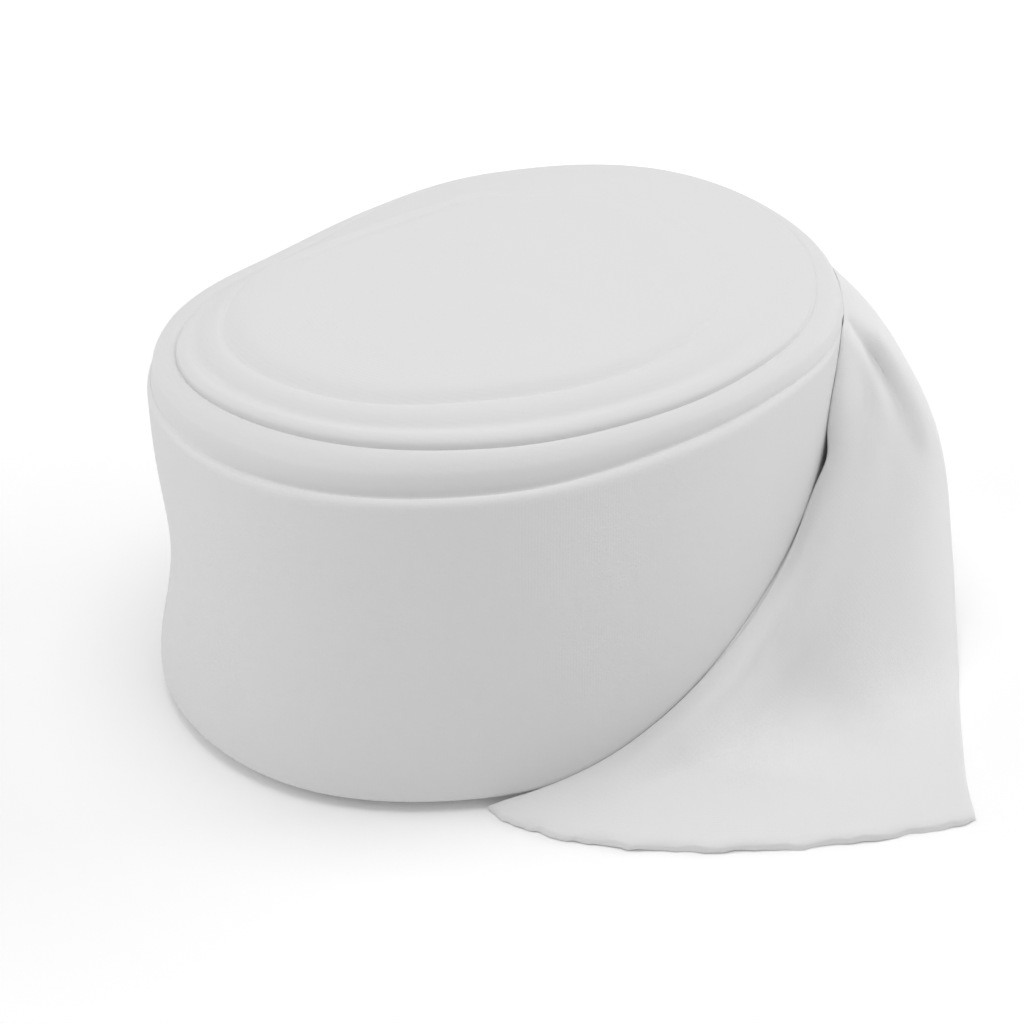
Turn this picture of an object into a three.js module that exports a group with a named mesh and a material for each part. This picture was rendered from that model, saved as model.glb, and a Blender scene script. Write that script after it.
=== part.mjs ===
// A roll of tubular stockinette: one long knitted cotton tube, pressed flat and wound on itself.
// It stands on its end. The last turn leaves the roll at the back right and falls forward: its
// upper edge slides down the wall, and its cut end lies spread on the surface in front.
// Millimetres, +Z up, -Y is the front. The origin is the centre of the flat underside.
import * as THREE from "three";

// Driving sizes
const TUBE_WIDTH = 102; // flat width of the tube, which is the height of the outer turns
const PLIES = 2.4; // thickness of the flat tube, two plies of knit, as it lies slack
const GAP = 0.3; // between the wound turns and the loose end
const LEAVES = 65; // bearing from +X, in degrees, at which the last turn leaves the roll
const CROWN = 15; // how far the middle of the end face stands above the outer turn

const { clamp, degToRad, euclideanModulo, lerp, radToDeg, smoothstep } = THREE.MathUtils;

// The roll from above, a row for each bearing. foot and rim are the radius of the outer turn at
// its lower and upper edge. inner and crease are the radius of the two steps of the end face,
// and the rises say how far the turns at those steps stand above the outer turn.
const OUTLINE = [
  { bearing: -180, foot: 99, rim: 99.5, crease: 89.5, creaseRise: 11, inner: 75, innerRise: 15 },
  { bearing: -150, foot: 110.5, rim: 111, crease: 103, creaseRise: 11, inner: 86, innerRise: 15 },
  { bearing: -120, foot: 113, rim: 116.5, crease: 102, creaseRise: 11, inner: 83.5, innerRise: 15 },
  { bearing: -90, foot: 102.5, rim: 107, crease: 93.5, creaseRise: 10.5, inner: 72.5, innerRise: 15 },
  { bearing: -60, foot: 93, rim: 96.3, crease: 84.5, creaseRise: 8.5, inner: 66.5, innerRise: 14 },
  { bearing: -30, foot: 93.5, rim: 95.5, crease: 85, creaseRise: 6.5, inner: 64.5, innerRise: 12.5 },
  { bearing: 0, foot: 104.5, rim: 107, crease: 97, creaseRise: 6, inner: 68, innerRise: 12 },
  { bearing: 30, foot: 112, rim: 115.5, crease: 109, creaseRise: 8.5, inner: 76, innerRise: 12.5 },
  { bearing: 60, foot: 115, rim: 119, crease: 113, creaseRise: 10.5, inner: 80, innerRise: 14 },
  { bearing: 90, foot: 99, rim: 102, crease: 93, creaseRise: 10.5, inner: 70, innerRise: 15 },
  { bearing: 120, foot: 83, rim: 84, crease: 74.5, creaseRise: 9.5, inner: 58, innerRise: 15 },
  { bearing: 150, foot: 83, rim: 83, crease: 71.5, creaseRise: 9, inner: 60, innerRise: 15 },
];

// The end face from its middle outwards. zone 0 is the middle, 1 the inner step, 2 the crease
// and 3 the groove behind the outer turn. level is added to the height there, and turn is the
// part of the last turn's thickness that the ring has gained after one lap.
const FACE = [
  { zone: 0, level: 1, turn: 0 },
  { zone: 0.25, level: 1.4, turn: 0 },
  { zone: 0.5, level: 0.8, turn: 0 },
  { zone: 0.75, level: 1.2, turn: 0 },
  { zone: 0.9, level: 1, turn: 0 },
  { zone: 0.97, level: 0.2, turn: 0 },
  { zone: 1, level: -1.4, turn: 0 },
  { zone: 1.06, level: -0.6, turn: 0 },
  { zone: 1.3, level: 0.6, turn: 0 },
  { zone: 1.5, level: 0.3, turn: 0 },
  { zone: 1.7, level: 1.2, turn: 0 },
  { zone: 1.88, level: 1.8, turn: 0 },
  { zone: 1.96, level: 0.8, turn: 0 },
  { zone: 2, level: -2, turn: 0 },
  { zone: 2.1, level: -1.2, turn: 0.2 },
  { zone: 2.35, level: -0.6, turn: 0.2 },
  { zone: 2.6, level: -0.4, turn: 0.2 },
];

// The upper edge of the outer turn, from the groove behind it to the wall. inset is measured in
// from the wall.
const RIM = [
  { inset: 3.2, height: 103, turn: 0.6 },
  { inset: 2.6, height: 99.6, turn: 0.6 },
  { inset: 1.9, height: 101.6, turn: 1 },
  { inset: 0.8, height: 102, turn: 1 },
  { inset: 0, height: 99.5, turn: 1 },
];
const WALL = [88, 74, 60, 46, 32, 19, 9]; // heights
const FOOT = [
  { inset: 2, height: 2.6 },
  { inset: 5.5, height: 0 },
  { inset: 20, height: 0 },
];
const GROOVE = { inset: 3, rise: 2 };
const WAIST = { bearing: -175, spread: 50, depth: 4.5, height: 48, reach: 26 };
const LOWER_SWELL = { depth: 1.5, height: 10, reach: 12 };
const COLUMNS = 72; // of faces, once round the roll

// A smooth value between the rows of a column, t counted in rows. A ring has no first row.
function between(column, t, ring = false) {
  const count = column.length;
  const i = ring ? Math.floor(t) : Math.min(Math.floor(t), count - 2);
  const u = t - i;
  const near = [-1, 0, 1, 2].map((k) => (ring ? euclideanModulo(i + k, count) : clamp(i + k, 0, count - 1)));
  const [a, b, c, d] = near.map((k) => column[k]);
  return b + 0.5 * u * (c - a + u * (2 * a - 5 * b + 4 * c - d + u * (3 * (b - c) + d - a)));
}

function outline(name, bearing) {
  const column = OUTLINE.map((row) => row[name]);
  return between(column, (euclideanModulo(bearing + 180, 360) * column.length) / 360, true);
}

function bell(distance, spread) {
  return Math.exp(-((distance / spread) ** 2));
}

// The outer turn runs clockwise seen from above, from lap 0 where it starts to lap 1 where it
// leaves, and the roll has grown by one flat tube on the way.
function lapOf(bearing) {
  return euclideanModulo((LEAVES - bearing) / 360, 1);
}

function gained(lap) {
  return (PLIES + GAP) * (lap - 0.5);
}

// The left of the wall has a soft waist over a swollen foot.
function waist(bearing, height) {
  const side = bell(euclideanModulo(bearing - WAIST.bearing + 180, 360) - 180, WAIST.spread);
  const drawnIn = WAIST.depth * bell(height - WAIST.height, WAIST.reach);
  return side * (drawnIn - LOWER_SWELL.depth * bell(height - LOWER_SWELL.height, LOWER_SWELL.reach));
}

function wallRadius(bearing, height, lap = lapOf(bearing)) {
  const up = smoothstep(height, 0, TUBE_WIDTH);
  return lerp(outline("foot", bearing), outline("rim", bearing), up) - waist(bearing, height) + gained(lap);
}

// One section of the roll as radius and height, from the middle of the end face to its foot.
function rollSection(bearing, lap) {
  const radii = [0, outline("inner", bearing), outline("crease", bearing), outline("rim", bearing) - GROOVE.inset];
  const rises = [CROWN, outline("innerRise", bearing), outline("creaseRise", bearing), GROOVE.rise];
  const face = FACE.map(({ zone, level, turn }) => {
    const i = Math.min(Math.floor(zone), 2);
    const u = zone - i;
    const shoulder = i === 2 ? Math.sqrt(1 - u * u) : 1 - u;
    const height = TUBE_WIDTH + lerp(rises[i + 1], rises[i], shoulder) + level;
    return [lerp(radii[i], radii[i + 1], u) + turn * gained(lap), height];
  });
  const rim = RIM.map(({ inset, height, turn }) => {
    return [wallRadius(bearing, TUBE_WIDTH, lap) - (1 - turn) * gained(lap) - inset, height];
  });
  const wall = WALL.map((height) => [wallRadius(bearing, height, lap), height]);
  const foot = FOOT.map(({ inset, height }) => [wallRadius(bearing, 0, lap) - inset, height]);
  return [...face, ...rim, ...wall, ...foot, [0, 0]];
}

function around(radius, bearing, height) {
  return new THREE.Vector3(radius * Math.cos(degToRad(bearing)), radius * Math.sin(degToRad(bearing)), height);
}

// Two triangles for each cell of a grid of points.
function quad(faces, a, b, c, d) {
  faces.push([a, b, c], [a, c, d]);
}

// Equal points are numbered once, and the triangles that this leaves empty are dropped.
function solid(points, faces) {
  const numbers = new Map();
  const kept = [];
  const numberOf = points.map((point) => {
    const key = point.toArray().map((v) => Math.round(v * 1e4)).join();
    if (!numbers.has(key)) {
      numbers.set(key, kept.length);
      kept.push(point);
    }
    return numbers.get(key);
  });
  const whole = faces.map((face) => face.map((v) => numberOf[v])).filter((face) => new Set(face).size === 3);
  const geometry = new THREE.BufferGeometry().setFromPoints(kept);
  geometry.setIndex(whole.flat());
  geometry.computeVertexNormals();
  return geometry;
}

function woundRoll() {
  const laps = Array.from({ length: COLUMNS + 1 }, (_, i) => i / COLUMNS);
  const sections = laps.map((lap) => rollSection(LEAVES - 360 * lap, lap));
  const rows = sections[0].length;
  const points = sections.flatMap((section, i) =>
    section.map(([radius, height]) => around(radius, LEAVES - 360 * laps[i], height)),
  );
  const faces = [];
  const at = (i, j) => i * rows + j;
  for (let j = 0; j + 1 < rows; j++) {
    for (let i = 0; i < COLUMNS; i++) quad(faces, at(i, j), at(i + 1, j), at(i + 1, j + 1), at(i, j + 1));
    quad(faces, at(COLUMNS, j), at(0, j), at(0, j + 1), at(COLUMNS, j + 1));
  }
  return solid(points, faces);
}

// The loose end, a row for each line across the tube, from its upper edge by the wall to its
// foot on the surface. off is how far the middle of the edge lies from the nearest place that
// the wall allows. out and in are the handles of the smooth curve between edge and foot.
const LINES = [
  { bearing: 64.8, height: 101.5, off: 1.2, footX: 49, footY: 104, outX: 0, outY: 0, outZ: -34, inX: 0, inY: 0, inZ: 34 },
  { bearing: 50, height: 101.5, off: 1.2, footX: 81, footY: 96, outX: 1, outY: 1, outZ: -28, inX: 0, inY: 0, inZ: 34 },
  { bearing: 36, height: 101.5, off: 1.1, footX: 109, footY: 77, outX: 5, outY: 4, outZ: -14, inX: 0, inY: 0, inZ: 42 },
  { bearing: 24, height: 101.5, off: 0.8, footX: 131, footY: 52, outX: 8, outY: 5, outZ: -6, inX: 0, inY: 2, inZ: 52 },
  { bearing: 13, height: 101.3, off: 0.4, footX: 142, footY: 28, outX: 13, outY: 3, outZ: 0, inX: -1, inY: 2, inZ: 58 },
  { bearing: 3, height: 98.5, off: 0.3, footX: 146, footY: 6, outX: 19, outY: -4, outZ: 3, inX: -3, inY: 0, inZ: 56 },
  { bearing: -4.5, height: 84, off: 2.8, footX: 145, footY: -14, outX: 18, outY: -8, outZ: 8, inX: -6, inY: 0, inZ: 46 },
  { bearing: -9.5, height: 62, off: 3, footX: 143, footY: -34, outX: 13, outY: -7, outZ: 3, inX: -14, inY: -4, inZ: 28 },
  { bearing: -22, height: 42, off: 0.6, footX: 141, footY: -55, outX: 10, outY: -8, outZ: -12, inX: -28, inY: -8, inZ: 10 },
  { bearing: -41, height: 26.5, off: 0.6, footX: 139.5, footY: -76, outX: 10, outY: -12, outZ: -12, inX: -36, inY: -12, inZ: 3 },
  { bearing: -66, height: 9, off: 0.5, footX: 139, footY: -95, outX: 14, outY: -24, outZ: -5, inX: -40, inY: -16, inZ: 1 },
  { bearing: -91, height: 1.5, off: 0.3, footX: 139.5, footY: -114, outX: 22, outY: -37, outZ: 0, inX: -45, inY: -20, inZ: 0 },
];

// Its folds, each along a straight stroke between two places, counted in lines and in shares of
// the width. A lift below nought is a trough. spread and lift are in millimetres.
const FOLDS = [
  { name: "outer ridge", line: 4.2, share: 0.1, toLine: 5.3, toShare: 0.5, spread: 8, lift: 1.5 },
  { name: "deep trough", line: 4.85, share: 0.09, toLine: 5.7, toShare: 0.36, spread: 6, lift: -5.5 },
  { name: "middle ridge", line: 5.2, share: 0.08, toLine: 6.8, toShare: 0.36, spread: 8, lift: 2.5 },
  { name: "hollow by the slit", line: 6.4, share: 0.12, toLine: 6.9, toShare: 0.2, spread: 6, lift: -1 },
  { name: "ridge along the edge", line: 7.2, share: 0.13, toLine: 10.2, toShare: 0.1, spread: 8, lift: 2 },
  { name: "broad trough", line: 7.6, share: 0.34, toLine: 9.9, toShare: 0.2, spread: 15, lift: -5 },
];
const LINE_PITCH = 24; // mean distance between the lines
const SPREAD_WIDTH = 115; // mean width of the tube where the folds lie
const CURL = { lift: 1.6, waves: 4.5, reach: 0.5 }; // of the cut end, reach in lines
const EDGE = 0.015; // share of the width over which the outer ply rounds in to each folded edge
const EDGE_PLY = 0.1; // of the full thickness, left of the outer ply at the folded edges
const ALONG = 44; // rows of faces from the roll to the cut end
const ACROSS = 24; // rows of faces from the upper edge to the foot

function foldLift(line, share) {
  let lift = 0;
  for (const fold of FOLDS) {
    const stroke = [(fold.toLine - fold.line) * LINE_PITCH, (fold.toShare - fold.share) * SPREAD_WIDTH];
    const place = [(line - fold.line) * LINE_PITCH, (share - fold.share) * SPREAD_WIDTH];
    const length = Math.hypot(...stroke);
    const along = (place[0] * stroke[0] + place[1] * stroke[1]) / length;
    const aside = (place[0] * stroke[1] - place[1] * stroke[0]) / length;
    const past = along - clamp(along, 0, length);
    lift += fold.lift * bell(aside, fold.spread) * bell(past, 1.4 * fold.spread);
  }
  return lift;
}

// A point of the sheet halfway through its thickness, before it is folded.
function smoothSheet(line, share) {
  const row = {};
  for (const name of Object.keys(LINES[0])) {
    const column = LINES.map((each) => each[name]);
    row[name] = between(column, line);
  }
  const edge = around(wallRadius(row.bearing, row.height) + GAP + row.off, row.bearing, row.height);
  const foot = new THREE.Vector3(row.footX, row.footY, PLIES / 2);
  const out = new THREE.Vector3(row.outX, row.outY, row.outZ).add(edge);
  const back = new THREE.Vector3(row.inX, row.inY, row.inZ).add(foot);
  return new THREE.CubicBezierCurve3(edge, out, back, foot).getPoint(share);
}

// The way out of the sheet, away from the roll.
function facing(sheet, line, share) {
  const step = 1e-3;
  const last = LINES.length - 1;
  const along = sheet(Math.min(line + step, last), share).sub(sheet(Math.max(line - step, 0), share));
  const across = sheet(line, Math.min(share + step, 1)).sub(sheet(line, Math.max(share - step, 0)));
  return along.cross(across).normalize();
}

// Moves a point straight out from the roll's axis until it stands clear of the wall.
function outsideWall(point, clear) {
  const least = wallRadius(radToDeg(Math.atan2(point.y, point.x)), point.z) + clear;
  const reach = Math.max(1, least / Math.hypot(point.x, point.y));
  return point.multiply(new THREE.Vector3(reach, reach, 1));
}

function foldedSheet(line, share) {
  const normal = facing(smoothSheet, line, share);
  const point = smoothSheet(line, share).addScaledVector(normal, foldLift(line, share));
  const curl = Math.sin(Math.PI * CURL.waves * share) ** 2 * share;
  point.z += CURL.lift * curl * bell(LINES.length - 1 - line, CURL.reach);
  point.z = Math.max(point.z, PLIES / 2);
  return outsideWall(point, GAP + (PLIES / 2) * Math.hypot(normal.x, normal.y));
}

function looseEnd() {
  const last = LINES.length - 1;
  const lines = Array.from({ length: ALONG + 1 }, (_, i) => (last * i) / ALONG);
  const inner = Array.from({ length: ACROSS - 1 }, (_, j) => EDGE + (1 - 2 * EDGE) * (j / (ACROSS - 2)));
  const shares = [0, ...inner, 1];
  const points = [];
  for (const outer of [true, false])
    for (const line of lines)
      for (const share of shares) {
        const ply = outer && share % 1 === 0 ? EDGE_PLY : 0.5;
        const lift = (outer ? ply : -ply) * PLIES;
        const point = foldedSheet(line, share).addScaledVector(facing(foldedSheet, line, share), lift);
        points.push(outsideWall(point, GAP));
      }
  const at = (side, i, j) => (side * (ALONG + 1) + i) * (ACROSS + 1) + j;
  const faces = [];
  for (let i = 0; i < ALONG; i++) {
    for (let j = 0; j < ACROSS; j++) {
      quad(faces, at(0, i, j), at(0, i + 1, j), at(0, i + 1, j + 1), at(0, i, j + 1));
      quad(faces, at(1, i, j), at(1, i, j + 1), at(1, i + 1, j + 1), at(1, i + 1, j));
    }
    quad(faces, at(0, i, 0), at(1, i, 0), at(1, i + 1, 0), at(0, i + 1, 0));
    quad(faces, at(0, i, ACROSS), at(0, i + 1, ACROSS), at(1, i + 1, ACROSS), at(1, i, ACROSS));
  }
  for (let j = 0; j < ACROSS; j++) {
    quad(faces, at(0, 0, j), at(0, 0, j + 1), at(1, 0, j + 1), at(1, 0, j));
    quad(faces, at(0, ALONG, j), at(1, ALONG, j), at(1, ALONG, j + 1), at(0, ALONG, j + 1));
  }
  return solid(points, faces);
}

// Unbleached-white cotton jersey, dull all over.
const cotton = { color: 0xe6e6e4, roughness: 0.95, metalness: 0 };

function piece(name, geometry) {
  const mesh = new THREE.Mesh(geometry, new THREE.MeshStandardMaterial(cotton));
  mesh.name = name;
  return mesh;
}

const stockinette = new THREE.Group();
stockinette.add(piece("wound_roll", woundRoll()), piece("loose_end", looseEnd()));

export default stockinette;
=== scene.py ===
# A roll of tubular stockinette on a pale studio floor. Its tables are in millimetres, and the
# meshes are built from them in metres.
import math

import bpy
import numpy as np
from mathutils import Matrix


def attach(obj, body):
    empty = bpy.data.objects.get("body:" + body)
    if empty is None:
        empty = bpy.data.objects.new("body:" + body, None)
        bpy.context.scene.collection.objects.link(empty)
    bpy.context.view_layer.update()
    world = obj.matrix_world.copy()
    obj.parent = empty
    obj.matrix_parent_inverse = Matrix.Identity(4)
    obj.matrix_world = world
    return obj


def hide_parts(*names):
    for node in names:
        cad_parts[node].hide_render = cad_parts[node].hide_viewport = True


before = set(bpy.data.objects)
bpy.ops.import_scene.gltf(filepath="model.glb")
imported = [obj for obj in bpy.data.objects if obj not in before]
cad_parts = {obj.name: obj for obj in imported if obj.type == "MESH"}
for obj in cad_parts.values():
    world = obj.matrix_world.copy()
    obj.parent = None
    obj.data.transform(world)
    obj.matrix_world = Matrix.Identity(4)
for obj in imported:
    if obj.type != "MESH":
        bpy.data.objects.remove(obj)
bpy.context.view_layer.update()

# Camera. It looks down on the roll from the front at 30 degrees, through a long lens.
bpy.ops.object.select_all(action="DESELECT")
bpy.ops.object.camera_add(location=(0.0058, -0.7633, 0.4780), rotation=(math.radians(60), 0, 0))
camera = bpy.context.object
camera.data.lens = 97.8
bpy.context.scene.camera = camera

# Wound roll. One long tube of plain cotton jersey, pressed flat and wound tightly on itself. It
# stands on its end, so the end face shows the folded edges of the turns. Its middle has worked
# up, and the outer turn stands alone in front of a groove.
MM = 0.001
TUBE_WIDTH = 102  # flat, which is the height of the outer turns
PLIES = 2.4  # thickness of the flat tube as it lies slack
GAP = 0.3  # between the wound turns and the loose end
LEAVES = 65  # bearing from +X, in degrees, at which the last turn leaves the roll
CROWN = 15  # height of the middle of the end face above the outer turn

# The roll from above, with a row for every 30 degrees. foot and rim are the radius of the outer
# turn at its lower and upper edge. inner and crease are the radius of the two steps of the end
# face, each with its rise. The steps and the groove close up round the back: the deep columns
# say how much of each is left.
OUTLINE = {
    "bearing": [-180, -150, -120, -90, -60, -30, 0, 30, 60, 90, 120, 150],
    "foot": [99, 112, 117.5, 108, 98, 95, 104.5, 113, 115, 99, 84, 83.5],
    "rim": [99.5, 111, 116.5, 107, 96.3, 95.5, 107, 118.5, 118.5, 102, 85.5, 84.5],
    "crease": [87.5, 102.5, 102, 93.5, 84.5, 85, 97, 109, 112, 93, 75, 71.5],
    "crease_rise": [8.5, 10.5, 11, 10.5, 8.5, 6.5, 6, 8.5, 10.5, 11, 10.5, 8.8],
    "inner": [75, 86, 83.5, 72.5, 66.5, 64.5, 68, 76, 80, 70, 58, 60],
    "inner_rise": [15, 15, 15, 15, 14, 12.5, 12, 12.5, 14, 15, 15, 15],
    "inner_deep": [0.4, 0.95, 1, 1, 1, 0.8, 0.3, 0.15, 0.1, 0, 0, 0.05],
    "crease_deep": [0.1, 0.75, 1, 1, 1, 0.8, 0.25, 0.1, 0, 0, 0, 0],
    "groove_deep": [0, 0.15, 0.9, 1, 1, 0.6, 0.1, 0, 0, 0, 0, 0],
}

# The end face from its middle outwards, as zone, level and turn. Zone 1 is the inner step, 2 the
# crease and 3 the groove behind the outer turn. Inside LEVEL_MIDDLE the face has no steps. turn
# is the part of the last turn's thickness that the ring gains in one lap.
FACE = [
    (0, 1.3, 0), (0.12, 1.3, 0), (0.25, 1.2, 0), (0.38, 1.1, 0), (0.5, 1, 0), (0.62, 1, 0),
    (0.75, 1.2, 0), (0.86, 1.2, 0), (0.93, 0.8, 0), (0.97, -0.2, 0), (1, -1.3, 0), (1.03, -1.2, 0),
    (1.1, -0.3, 0), (1.22, 0.6, 0), (1.36, 0.8, 0), (1.48, 0.4, 0), (1.6, -0.2, 0), (1.7, 0.3, 0),
    (1.82, 1.3, 0), (1.91, 1.3, 0), (1.965, 0.6, 0), (1.99, -0.7, 0), (2.01, -1.4, 0), (2.04, -1.1, 0),
    (2.12, -0.6, 0), (2.35, -0.4, 0), (2.6, -0.3, 0), (2.8, -0.2, 0.05), (2.91, -0.2, 0.15),
]
LEVEL_MIDDLE = 0.9
EVEN_LEVEL = 0.3  # of the face where a step has closed up
# The upper edge of the outer turn as inset from the wall, height and turn.
RIM = [
    (5.9, 104, 0.25), (5.5, 102.6, 0.4), (5.1, 101.7, 0.6), (4.6, 101.5, 0.8), (4, 101.9, 0.9),
    (3.1, 102.4, 1), (2.1, 102.5, 1), (1.1, 102.1, 1), (0.4, 101.2, 1), (0.05, 99.8, 1), (0, 98, 1),
]
RIM_TOP = 8  # the row of it that the knit is measured from
# Where the groove has closed up, the edge is plain. Where the loose end covers it, it is sharp.
EDGE_INSET, EDGE_TOP, EDGE_BOTTOM = 0.8, 101.4, 98
COVERED_FROM, COVERED_OVER, COVERED_SHARPER = -6, 16, 0.85  # bearing, degrees and share
GROOVE_INSET, GROOVE_RISE = 6, 1.7
WALL = [95, 88, 81, 74, 67, 60, 53, 46, 39, 32, 26, 20, 14, 9, 5.4]
FOOT = [(0.4, 4.3), (1.6, 3.1), (3.6, 2.1), (6.5, 1.1), (10, 0.3), (14, 0), (60, 0)]
COLUMNS = 300  # faces once round
ROWS_IN_GAP = 4
SHARP = 50  # degrees between two faces above which their edge isn't smoothed
TURN_PITCH = 1.45  # from one turn to the next, as they lie wound
MEAN_RADIUS = 103


def smooth_curve(before, start, end, after, share):
    """Part of the way from start to end, on a curve that runs smoothly on to their neighbours."""
    bend = 2 * before - 5 * start + 4 * end - after
    twist = 3 * (start - end) + after - before
    return start + 0.5 * share * (end - before + share * (bend + share * twist))


def ring(name, bearing):
    """A smooth value at each bearing, through the column's row for every 30 degrees."""
    column = np.array(OUTLINE[name], float)
    place = (np.asarray(bearing, float) + 180) % 360 / 30
    first = np.floor(place).astype(int)
    before, start, end, after = (column[(first + k) % 12] for k in (-1, 0, 1, 2))
    return smooth_curve(before, start, end, after, place - first)


def bell(distance, spread):
    return np.exp(-((distance / spread) ** 2))


def ease(share):
    share = np.clip(share, 0, 1)
    return share * share * (3 - 2 * share)


def lap_of(bearing):
    """Which part of the outer turn this is, from 0 where it starts to 1 where it leaves."""
    return (LEAVES - np.asarray(bearing, float)) / 360 % 1


def gained(lap):
    return (PLIES + GAP) * (lap - 0.5)


def waist(bearing, height):
    """The left of the wall, round bearing -175, is drawn in over a swollen foot."""
    left = bell((np.asarray(bearing) + 175 + 180) % 360 - 180, 50)
    drawn_in, swollen = 4.5 * bell(height - 48, 26), 1.5 * bell(height - 10, 12)
    return left * (drawn_in - swollen)


def wall_radius(bearing, height, lap=None):
    lap = lap_of(bearing) if lap is None else lap
    up = ease(np.asarray(height, float) / TUBE_WIDTH)
    foot, rim = ring("foot", bearing), ring("rim", bearing)
    return foot + (rim - foot) * up - waist(bearing, height) + gained(lap)


def roll_section(bearing, lap):
    """Radius and height of every row of the tables, from the middle of the end face to its foot."""
    none = np.zeros_like(bearing)
    steps = [np.clip(ring(name, bearing), 0, 1) for name in ("inner_deep", "crease_deep", "groove_deep")]
    open_groove = steps[2]
    groove_inset = EDGE_INSET + (GROOVE_INSET - EDGE_INSET) * open_groove
    groove_rise = EDGE_TOP - TUBE_WIDTH + (GROOVE_RISE - EDGE_TOP + TUBE_WIDTH) * open_groove
    radii = [none, ring("inner", bearing), ring("crease", bearing), ring("rim", bearing) - groove_inset]
    rises = [none + CROWN, ring("inner_rise", bearing), ring("crease_rise", bearing), groove_rise]
    rows = []
    for zone, level, turn in FACE:
        band = min(int(zone), 2)
        across = zone - band
        fall = math.sqrt(1 - across * across) if band == 2 else 1 - across
        nearest = min(round(zone) - 1, 2)
        level = none + level if zone < LEVEL_MIDDLE else EVEN_LEVEL + (level - EVEN_LEVEL) * steps[nearest]
        height = TUBE_WIDTH + rises[band + 1] + (rises[band] - rises[band + 1]) * fall + level
        rows.append((radii[band] + (radii[band + 1] - radii[band]) * across + turn * gained(lap), height))
    top = wall_radius(bearing, TUBE_WIDTH, lap)
    bare = 1 - COVERED_SHARPER * ease((bearing - COVERED_FROM) / COVERED_OVER) * (bearing < LEAVES)
    for (inset, height, turn), share in zip(RIM, np.linspace(0, 1, len(RIM))):
        plain_inset = bare * EDGE_INSET * (1 - share) ** 2
        plain_height = EDGE_TOP + bare * (EDGE_BOTTOM - EDGE_TOP) * share
        inset = plain_inset + (inset - plain_inset) * open_groove
        height = plain_height + (height - plain_height) * open_groove
        rows.append((top - (1 - turn) * gained(lap) - inset, height))
    rows += [(wall_radius(bearing, height, lap), none + height) for height in WALL]
    rows += [(wall_radius(bearing, 0, lap) - inset, none + height) for inset, height in FOOT]
    rows.append((none, none))
    return np.array(rows)


def refine(rows, steps):
    """More rows on a smooth curve through the given ones."""
    padded = np.concatenate([rows[:1], rows, rows[-1:]])
    corners = padded[:-3], padded[1:-2], padded[2:-1], padded[3:]
    made = np.stack([smooth_curve(*corners, step / steps) for step in range(steps)], 1)
    return np.concatenate([made.reshape(-1, *rows.shape[1:]), rows[-1:]])


def grid_piece(name, points, uvs):
    """A grid primitive laid through the points, closed where they meet, with metric UV maps."""
    rows, columns = points.shape[:2]
    bpy.ops.object.select_all(action="DESELECT")
    bpy.ops.mesh.primitive_grid_add(x_subdivisions=columns - 1, y_subdivisions=rows - 1, size=1)
    piece = bpy.context.object
    piece.name = name
    mesh = piece.data
    mesh.name = name
    mesh.vertices.foreach_set("co", (points * MM).astype(np.float32).ravel())
    corners = np.empty(len(mesh.loops), np.int32)
    mesh.loops.foreach_get("vertex_index", corners)
    mesh.uv_layers.remove(mesh.uv_layers[0])
    for uv_name, uv in uvs.items():
        layer = mesh.uv_layers.new(name=uv_name)
        layer.data.foreach_set("uv", uv.reshape(-1, 2)[corners].astype(np.float32).ravel())
    mesh.update()
    bpy.ops.object.mode_set(mode="EDIT")
    bpy.ops.mesh.select_all(action="SELECT")
    bpy.ops.mesh.remove_doubles(threshold=1e-6)
    bpy.ops.mesh.dissolve_degenerate(threshold=1e-7)
    bpy.ops.mesh.select_all(action="SELECT")
    bpy.ops.mesh.normals_make_consistent(inside=False)
    bpy.ops.mesh.select_mode(type="EDGE")
    bpy.ops.mesh.select_all(action="DESELECT")
    bpy.ops.mesh.edges_select_sharp(sharpness=math.radians(SHARP))
    bpy.ops.mesh.mark_sharp()
    bpy.ops.object.mode_set(mode="OBJECT")
    bpy.ops.object.shade_smooth()
    return piece


laps = np.linspace(0, 1, COLUMNS + 1)
bearings = LEAVES - 360 * laps
section = refine(roll_section(bearings, laps), ROWS_IN_GAP)
radius, height = section[:, 0], np.maximum(section[:, 1], 0)
angle = np.radians(bearings)
roll_points = np.stack([radius * np.cos(angle), radius * np.sin(angle), height], -1)
roll_points = np.concatenate([roll_points, roll_points[:, :1]], 1)

# The first map lays the knit round the wall. The second counts the turns from the middle.
step = np.hypot(np.diff(radius, axis=0), np.diff(height, axis=0))
path = np.concatenate([np.zeros((1, COLUMNS + 1)), np.cumsum(step, 0)])
down = path - path[(len(FACE) + RIM_TOP) * ROWS_IN_GAP]
round_wall = np.broadcast_to(np.radians(360 * laps) * MEAN_RADIUS, down.shape)
turns = np.clip(radius / TURN_PITCH, 0, None) + laps
maps = {
    "knit": np.stack([round_wall, down], -1) * MM,
    "turns": np.stack([np.broadcast_to(laps, turns.shape), turns], -1),
}
maps = {name: np.concatenate([uv, uv[:, -1:]], 1) for name, uv in maps.items()}
wound_roll = grid_piece("wound_stockinette", roll_points, maps)


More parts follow.
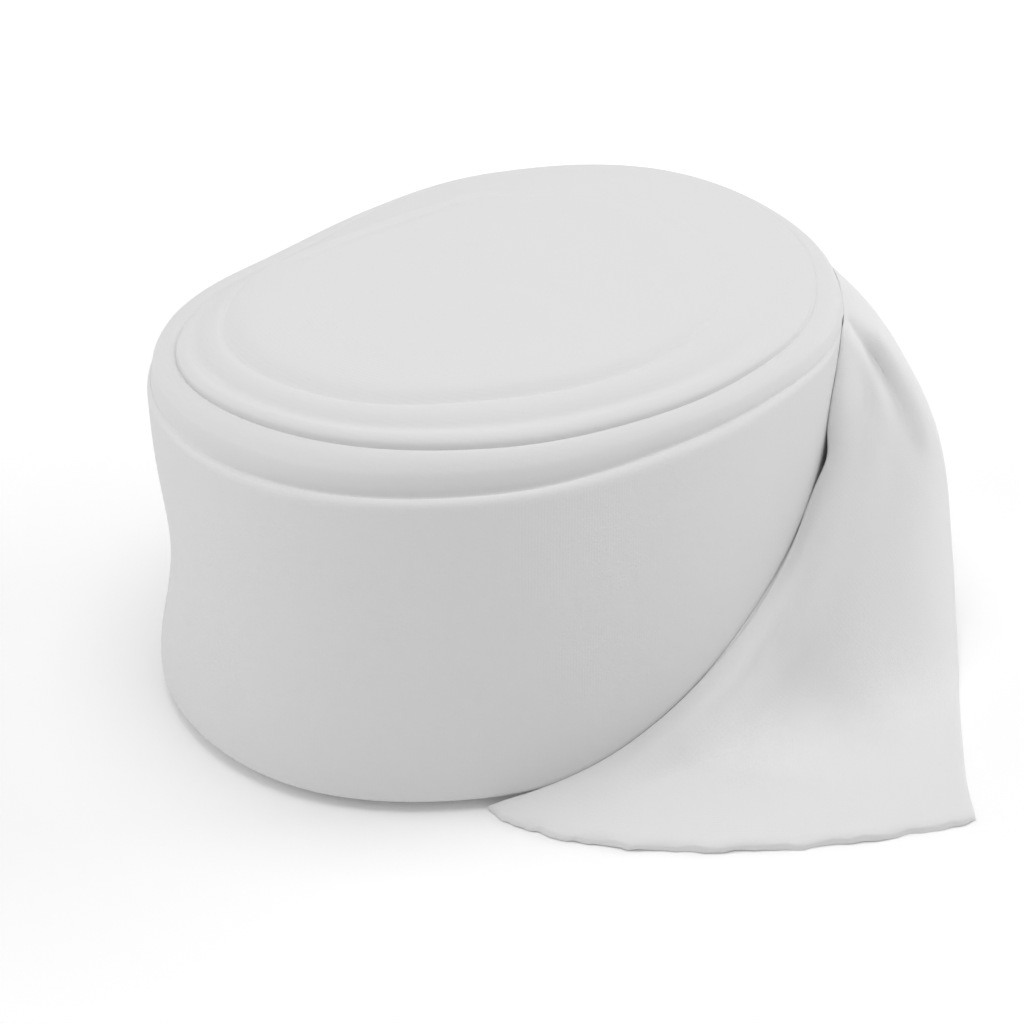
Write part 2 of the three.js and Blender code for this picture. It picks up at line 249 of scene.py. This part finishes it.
class Socket:
    """A value inside a shader. Sums and products of it become Math nodes."""

    def __init__(self, tree, output=None):
        self.tree = tree
        self.output = output

    def node(self, kind, settings, sockets, output=0):
        made = self.tree.nodes.new(kind)
        for name, value in settings.items():
            setattr(made, name, value)
        for name, value in sockets.items():
            if isinstance(value, Socket):
                self.tree.links.new(value.output, made.inputs[name])
            else:
                made.inputs[name].default_value = value
        return Socket(self.tree, made.outputs[output])

    def math(self, operation, *values):
        return self.node("ShaderNodeMath", {"operation": operation}, dict(enumerate(values)))

    def __add__(self, other):
        return self.math("ADD", self, other)

    def __radd__(self, other):
        return self.math("ADD", other, self)

    def __sub__(self, other):
        return self.math("SUBTRACT", self, other)

    def __rsub__(self, other):
        return self.math("SUBTRACT", other, self)

    def __mul__(self, other):
        return self.math("MULTIPLY", self, other)

    def __rmul__(self, other):
        return self.math("MULTIPLY", other, self)

    def __truediv__(self, other):
        return self.math("DIVIDE", self, other)

    def __abs__(self):
        return self.math("ABSOLUTE", self)


WALE = 1.3  # width of a column of stitches
COURSE = 0.9  # height of a row of stitches


def jersey(name, pale, grain=lambda tree, stitches: stitches):
    """Bleached cotton jersey: columns of small V stitches along the tube, under a short fuzz."""
    material = bpy.data.materials.new(name)
    material.use_nodes = True
    tree = Socket(material.node_tree)
    shader = material.node_tree.nodes["Principled BSDF"]
    shader.inputs["Sheen Weight"].default_value = 0.15
    shader.inputs["Sheen Roughness"].default_value = 0.6
    shader.inputs["Specular IOR Level"].default_value = 0.2

    metric = tree.node("ShaderNodeUVMap", {"uv_map": "knit"}, {})
    along = tree.node("ShaderNodeSeparateXYZ", {}, {0: metric}, "X") / (COURSE * MM)
    across = tree.node("ShaderNodeSeparateXYZ", {}, {0: metric}, "Y") / (WALE * MM)
    place = tree.node("ShaderNodeTexCoord", {}, {}, "Object")

    def noise(scale, detail):
        return tree.node("ShaderNodeTexNoise", {}, {"Vector": place, "Scale": scale, "Detail": detail})

    drift = noise(160, 2) - 0.5
    fuzz = noise(2600, 3) - 0.5
    cloud = noise(28, 2) - 0.5

    wale = (across + drift * 0.5).math("FRACT", across + drift * 0.5)
    leg = abs(wale * 2 - 1)
    side = (leg * math.pi).math("SINE", leg * math.pi)
    slant = (along + drift * 0.7 + leg * 0.5) * (2 * math.pi)
    stitches = side * (slant.math("SINE", slant) * 0.35 + 0.65)

    relief = grain(tree, stitches * 0.5) + fuzz * 0.8
    bump = tree.node("ShaderNodeBump", {}, {"Strength": 0.5, "Distance": 0.12 * MM, "Height": relief})
    tree.tree.links.new(bump.output, shader.inputs["Normal"])

    shade = stitches * 0.05 + fuzz * 0.05 + cloud * 0.03 + pale
    colour = tree.node(
        "ShaderNodeMix",
        {"data_type": "RGBA"},
        {0: shade, 6: (0.63, 0.63, 0.63, 1), 7: (0.775, 0.775, 0.775, 1)},
        2,
    )
    tree.tree.links.new(colour.output, shader.inputs["Base Color"])
    rough = 0.93 + fuzz * 0.06
    tree.tree.links.new(rough.output, shader.inputs["Roughness"])
    return material


FACE_ABOVE = 102.5  # height over which the roll shows its end face


def turned_edges(tree, stitches):
    """On the end face, the folded edges of the turns lie side by side in fine rings."""
    counted = tree.node("ShaderNodeUVMap", {"uv_map": "turns"}, {})
    turn = tree.node("ShaderNodeSeparateXYZ", {}, {0: counted}, "Y")
    edge = turn.math("FRACT", turn) * math.pi
    rounded = edge.math("SINE", edge)
    place = tree.node("ShaderNodeTexCoord", {}, {}, "Object")
    high = tree.node("ShaderNodeSeparateXYZ", {}, {0: place}, "Z")
    on_face = high.math("GREATER_THAN", high, FACE_ABOVE * MM)
    patchy = tree.node("ShaderNodeTexNoise", {}, {"Vector": place, "Scale": 45, "Detail": 2})
    out = tree.node("ShaderNodeMapRange", {}, {"Value": turn, "From Min": 6, "From Max": 50})
    return stitches * (1 - on_face) + rounded * on_face * patchy * out * 0.5


wound_roll.data.materials.append(jersey("jersey_wound", 0.47, turned_edges))
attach(wound_roll, "root")
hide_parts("wound_roll")

# Loose end. The last turn of the same tube leaves the roll at the back right. Its upper edge
# slides down the wall, and it falls into a few soft folds until its cut end lies on the floor.
# The cut is raw, with its two plies pressed together.

# Each of these lines runs down the cloth from its upper edge to its foot, and a share is a place
# on the line. The edge is at a bearing and height on the wall, and tip says where it lies in the
# thickness, from -1 at the wall. out and in are the handles of the curve from edge to foot.
LINES = {
    "bearing": [64.95, 50, 36, 24, 13, 3, -4.5, -9.5, -22, -41, -66, -91],
    "height": [101.2, 101.2, 101.2, 101.2, 101, 98.5, 84, 63.5, 43, 27.5, 10.5, 1.5],
    "tip": [0.5, 0.6, 0.6, 0.6, 0.7, 0.8, 0.8, 0.3, 0.8, 0.85, 0.7, 0.2],
    "foot_x": [48, 81, 109, 131, 143, 147.5, 146.5, 145, 143, 141, 139.5, 139.5],
    "foot_y": [102.7, 96, 77, 52, 28, 6, -14, -34, -55, -76, -95, -114],
    "out_x": [0, 1, 5, 8, 13, 19, 18, 13, 10, 10, 14, 22],
    "out_y": [0, 1, 4, 5, 3, -4, -8, -7, -8, -12, -23, -29],
    "out_z": [-34, -28, -14, -6, 0, 3, 8, 3, -12, -12, -5, 0],
    "in_x": [0, 0, 0, 0, -1, -3, -6, -14, -28, -36, -40, -45],
    "in_y": [0, 0, 0, 2, 2, 0, 0, -4, -8, -12, -16, -18],
    "in_z": [34, 34, 42, 52, 58, 56, 46, 28, 10, 3, 1, 0],
}
LAST = len(LINES["bearing"]) - 1
FOOT_TIP = -0.8  # tip of the lower folded edge
SLIT_LINE, SLIT_SPREAD, SLIT_WIDTH = 6.9, 0.4, 1.7  # the loose end stands off the wall there
# The middle is drawn to an even ramp from the rim down to the floor. Each pair gives the line or
# share at which the ramp starts or stops, and over how much of it.
RAMP_FACING = np.array([0.0, -0.76, 0.65])
RAMP_LEVEL = 57
RAMP_FIRST_LINE, RAMP_LAST_LINE = (4.5, 0.9), (8.4, 1.4)
RAMP_FIRST_SHARE, RAMP_LAST_SHARE = (0, 0.22), (0.4, 0.45)
# Each fold follows a path of line, share, spread and lift. A lift below nought is a trough.
FOLDS = {
    "upper trough": [
        (4.8, 0.03, 3, -0.8), (5, 0.07, 3.5, -1.6), (5.2, 0.16, 4.5, -2.2), (5.4, 0.27, 5.5, -2.7),
        (5.55, 0.36, 6, -2.4), (5.7, 0.41, 7, -1.4), (5.85, 0.46, 7.5, -0.7), (6, 0.5, 8, -0.2),
    ],
    "middle ridge": [
        (5.18, 0.05, 4, 0.4), (5.4, 0.12, 4.5, 0.9), (5.62, 0.21, 5, 1.2), (5.84, 0.26, 6, 1.4),
        (6.06, 0.29, 7, 1.4), (6.5, 0.28, 8, 1.2), (6.9, 0.29, 9, 0.6),
    ],
    "outer ridge": [(4.98, 0.2, 4, 0.8), (5.38, 0.36, 4, 1.2), (5.6, 0.49, 5, 0.8)],
    "ridge along the edge": [
        (7.6, 0.1, 6, 0.8), (8.44, 0.08, 6, 1.5), (9.22, 0.09, 6, 2), (9.84, 0.07, 6, 1.8),
        (10.22, 0.09, 6, 1),
    ],
    "broad trough": [
        (7.8, 0.34, 9, -0.8), (8.28, 0.36, 10, -1.6), (8.76, 0.36, 10, -2.6), (9.12, 0.34, 10, -3.4),
        (9.42, 0.29, 9.5, -3.7), (9.66, 0.24, 8.5, -3.3), (9.92, 0.18, 7, -2.2),
    ],
}
LINE_PITCH = 24  # from one line to the next
FOLD_WIDTH, LOOP_WIDTH = 115, 118  # from edge to foot, for the folds and for the folded edges
SNUG = 0.05  # between the loose end and the wall that it lies on
EDGE_ROUNDING, EDGE_PLY = 3, 0.6  # of the folded edges, and how thick the held one stays
CUT_ROUNDING = 1.6
THINNED, THINNED_MORE = 0.3, 0.25  # parts of the thickness lost at the raw cut
CUT_STRAY, CUT_LIFT, CUT_WAVES = 0.9, 0.5, 4.5  # how wavy it lies, to and fro and up and down
ALONG, ACROSS = 230, 110
CROWDED = 0.93  # the faces are narrower towards the folded edges


def line_value(name, line):
    column = np.array(LINES[name], float)
    first = np.clip(np.floor(line).astype(int), 0, LAST - 1)
    before, start, end, after = (column[np.clip(first + k, 0, LAST)] for k in (-1, 0, 1, 2))
    return smooth_curve(before, start, end, after, line - first)


def slit_open(line):
    return bell(line - SLIT_LINE, SLIT_SPREAD)


def reached(value, stop):
    start, over = stop
    return ease((value - start) / over)


def smooth_sheet(line, share):
    """Halfway through the thickness, before the folds: a smooth curve from wall to floor."""
    v = {name: line_value(name, line) for name in LINES}
    radius = wall_radius(v["bearing"], v["height"]) + SNUG + SLIT_WIDTH * slit_open(line)
    turn = np.radians(v["bearing"])
    edge = np.stack([radius * np.cos(turn), radius * np.sin(turn), v["height"]], -1)
    foot = np.stack([v["foot_x"], v["foot_y"], 0 * radius + PLIES / 2], -1)
    out = edge + np.stack([v["out_x"], v["out_y"], v["out_z"]], -1)
    back = foot + np.stack([v["in_x"], v["in_y"], v["in_z"]], -1)
    t = share[..., None]
    fall = edge * (1 - t) ** 3 + 3 * out * t * (1 - t) ** 2 + 3 * back * t * t * (1 - t) + foot * t**3
    drawn = reached(line, RAMP_FIRST_LINE) * (1 - reached(line, RAMP_LAST_LINE))
    drawn = drawn * reached(share, RAMP_FIRST_SHARE) * (1 - reached(share, RAMP_LAST_SHARE))
    return fall + RAMP_FACING * ((RAMP_LEVEL - fall @ RAMP_FACING) * drawn)[..., None]


def facing(sheet, line, share):
    """The way out of the sheet, away from the roll."""
    near = 2e-3
    along = sheet(np.minimum(line + near, LAST), share) - sheet(np.maximum(line - near, 0), share)
    across = sheet(line, np.minimum(share + near, 1)) - sheet(line, np.maximum(share - near, 0))
    normal = np.cross(along, across)
    return normal / np.linalg.norm(normal, axis=-1, keepdims=True)


def fold_lift(line, share):
    """The highest ridge and the deepest trough at each place, added up."""
    ridge, trough = np.zeros(np.shape(line)), np.zeros(np.shape(line))
    for path in FOLDS.values():
        stops = np.arange(len(path))
        for stop in np.linspace(0, len(path) - 1, 10 * len(path)):
            at_line, at_share, spread, lift = (np.interp(stop, stops, column) for column in zip(*path))
            away = np.hypot((line - at_line) * LINE_PITCH, (share - at_share) * FOLD_WIDTH)
            bump = lift * bell(away, spread)
            ridge, trough = np.maximum(ridge, bump), np.minimum(trough, bump)
    return ridge + trough


def outside_wall(points, clear):
    """Points nearer the wall than clear are moved straight out from the middle of the roll."""
    bearing = np.degrees(np.arctan2(points[..., 1], points[..., 0]))
    least = wall_radius(bearing, points[..., 2]) + clear
    reach = np.maximum(1, least / np.hypot(points[..., 0], points[..., 1]))
    return points * np.stack([reach, reach, np.ones_like(reach)], -1)


def ragged(share):
    """How far the cut strays to and fro, at most about 1."""
    return 0.5 * np.sin(44 * share + 1) + 0.3 * np.sin(82 * share) + 0.2 * np.sin(145 * share + 2)


def half_thickness(line, share):
    return PLIES / 2 * (1 - (THINNED + THINNED_MORE * ragged(1 - share)) * bell(LAST - line, 0.12))


def folded_sheet(line, share):
    """Halfway through the thickness, with the folds and a wavy cut, clear of wall and floor."""
    normal = facing(smooth_sheet, line, share)
    points = smooth_sheet(line, share) + normal * fold_lift(line, share)[..., None]
    points[..., 1] += CUT_STRAY * ragged(share) * bell(LAST - line, 0.15)
    waves = np.sin(np.pi * CUT_WAVES * share) ** 2
    points[..., 2] += CUT_LIFT * waves * share * bell(LAST - line, 0.5)
    least = half_thickness(line, share)
    points[..., 2] = np.maximum(points[..., 2] + least - PLIES / 2, least)
    away = points[..., :2] / np.linalg.norm(points[..., :2], axis=-1, keepdims=True)
    return outside_wall(points, SNUG + PLIES / 2 * np.abs((normal[..., :2] * away).sum(-1)))


def quarter_round(share):
    return np.sqrt(1 - (1 - np.clip(share, 0, 1)) ** 2)


def tube_loop(line, share, side):
    """Round the flat tube: side is 1 on the outer ply, -1 on the inner one and 0 between them."""
    line, share = np.broadcast_arrays(line, share)
    points, normal = folded_sheet(line, share), facing(folded_sheet, line, share)
    from_edge = np.minimum(share, 1 - share) * LOOP_WIDTH / EDGE_ROUNDING
    rounded = quarter_round(from_edge)
    half = half_thickness(line, share) * np.abs(side)
    tip = np.where(share < 0.5, np.clip(line_value("tip", line), -0.9, 0.9), FOOT_TIP)
    outer_ply = half * (tip + (1 - tip) * rounded)
    inner_ply = half * (tip - (1 + tip) * rounded)
    cut_rounded = quarter_round((LAST - line) * LINE_PITCH / CUT_ROUNDING)
    outer_ply = inner_ply + (outer_ply - inner_ply) * cut_rounded
    points = points + normal * np.where(side > 0, outer_ply, inner_ply)[..., None]

    # The upper edge is held to the wall, apart from the slit.
    held = (1 - ease(from_edge)) * (share < 0.5) * (1 - slit_open(line))
    reach = np.hypot(points[..., 0], points[..., 1])
    bearing = np.degrees(np.arctan2(points[..., 1], points[..., 0]))
    least = SNUG + EDGE_PLY * rounded * cut_rounded * (side > 0)
    off_wall = np.clip(reach - wall_radius(bearing, points[..., 2]) - least, 0, 2)
    points[..., :2] *= (1 - held * off_wall / reach)[..., None]
    points = outside_wall(points, SNUG)
    points[..., 2] = np.maximum(points[..., 2], 0)
    return points


even = np.linspace(0, 1, ACROSS + 1)
shares = even - CROWDED * np.sin(2 * np.pi * even) / (2 * np.pi)
around_share = np.concatenate([shares, shares[-2::-1]])[None, :]
around_side = np.concatenate([np.ones(ACROSS + 1), -np.ones(ACROSS)])[None, :]

at_cut = LAST - CUT_ROUNDING / LINE_PITCH * (1 - np.sin(np.linspace(0, np.pi / 2, 10)))
lines = np.concatenate([np.linspace(0, at_cut[0], ALONG)[:-1], at_cut])[:, None]
begun = tube_loop(lines[:1], around_share, 0 * around_side)
tube_points = np.concatenate([begun, tube_loop(lines, around_share, around_side)])

step = np.linalg.norm(np.diff(tube_points, axis=1), axis=-1)
across_way = np.concatenate([np.zeros((len(step), 1)), np.cumsum(step, 1)], 1)
along_way = np.broadcast_to(np.concatenate([lines[:1], lines]) * LINE_PITCH, across_way.shape)
knit = np.stack([along_way, across_way], -1) * MM
loose_end = grid_piece("loose_stockinette", tube_points, {"knit": knit})
# The loose end is the same jersey, painted paler than the wound roll as painted light, to brighten its
# slopes that the roll shades.
loose_end.data.materials.append(jersey("jersey_loose_painted_light", 0.8))
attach(loose_end, "root")
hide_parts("loose_end")

# Floor. A plain pale sweep, wide enough to fill the view from any side. It glows a little, more so
# away from the roll, to stay white.
bpy.ops.object.select_all(action="DESELECT")
bpy.ops.mesh.primitive_plane_add(size=12, location=(0, 0, 0))
floor = bpy.context.object
floor.name = "floor"
paper = bpy.data.materials.new("pale_paper")
paper.use_nodes = True
sweep = paper.node_tree.nodes["Principled BSDF"]
sweep.inputs["Base Color"].default_value = (0.93, 0.93, 0.93, 1)
sweep.inputs["Roughness"].default_value = 0.9
sweep.inputs["Specular IOR Level"].default_value = 0.1
sweep.inputs["Emission Strength"].default_value = 1
stage = Socket(paper.node_tree)
spot = stage.node("ShaderNodeTexCoord", {}, {}, "Object")
away = stage.node("ShaderNodeVectorMath", {"operation": "LENGTH"}, {0: spot}, "Value")
far = stage.node(
    "ShaderNodeMapRange",
    {"interpolation_type": "SMOOTHSTEP"},
    {"Value": away, "From Min": 0.2, "From Max": 0.5},
)
glow = far * 0.21 + 0.05
white = stage.node("ShaderNodeCombineXYZ", {}, {"X": glow, "Y": glow, "Z": glow})
paper.node_tree.links.new(white.output, sweep.inputs["Emission Color"])
floor.data.materials.append(paper)

# Light. Wide soft boxes hang above and to both sides, and a white room fills the shadows.
AIM_HEIGHT = 0.05


def softbox(name, place, size, power):
    bpy.ops.object.select_all(action="DESELECT")
    bpy.ops.object.light_add(type="AREA", location=place)
    lamp = bpy.context.object
    lamp.name = name
    lamp.data.size = size
    lamp.data.energy = power
    x, y, z = place[0], place[1], place[2] - AIM_HEIGHT
    lamp.rotation_euler = (math.atan2(math.hypot(x, y), z), 0, math.atan2(y, x) + math.pi / 2)


softbox("top_box", (0.0, -0.1, 1.7), 1.2, 11.6)
softbox("left_box", (-1.5, -0.1, 0.8), 1.0, 5)
softbox("right_box", (1.5, 0.5, 0.8), 1.0, 8.4)
room = bpy.data.worlds.new("white_room")
bpy.context.scene.world = room
room.use_nodes = True
room.node_tree.nodes["Background"].inputs["Color"].default_value = (1, 1, 1, 1)
room.node_tree.nodes["Background"].inputs["Strength"].default_value = 0.5
bpy.context.scene.view_settings.view_transform = "Standard"
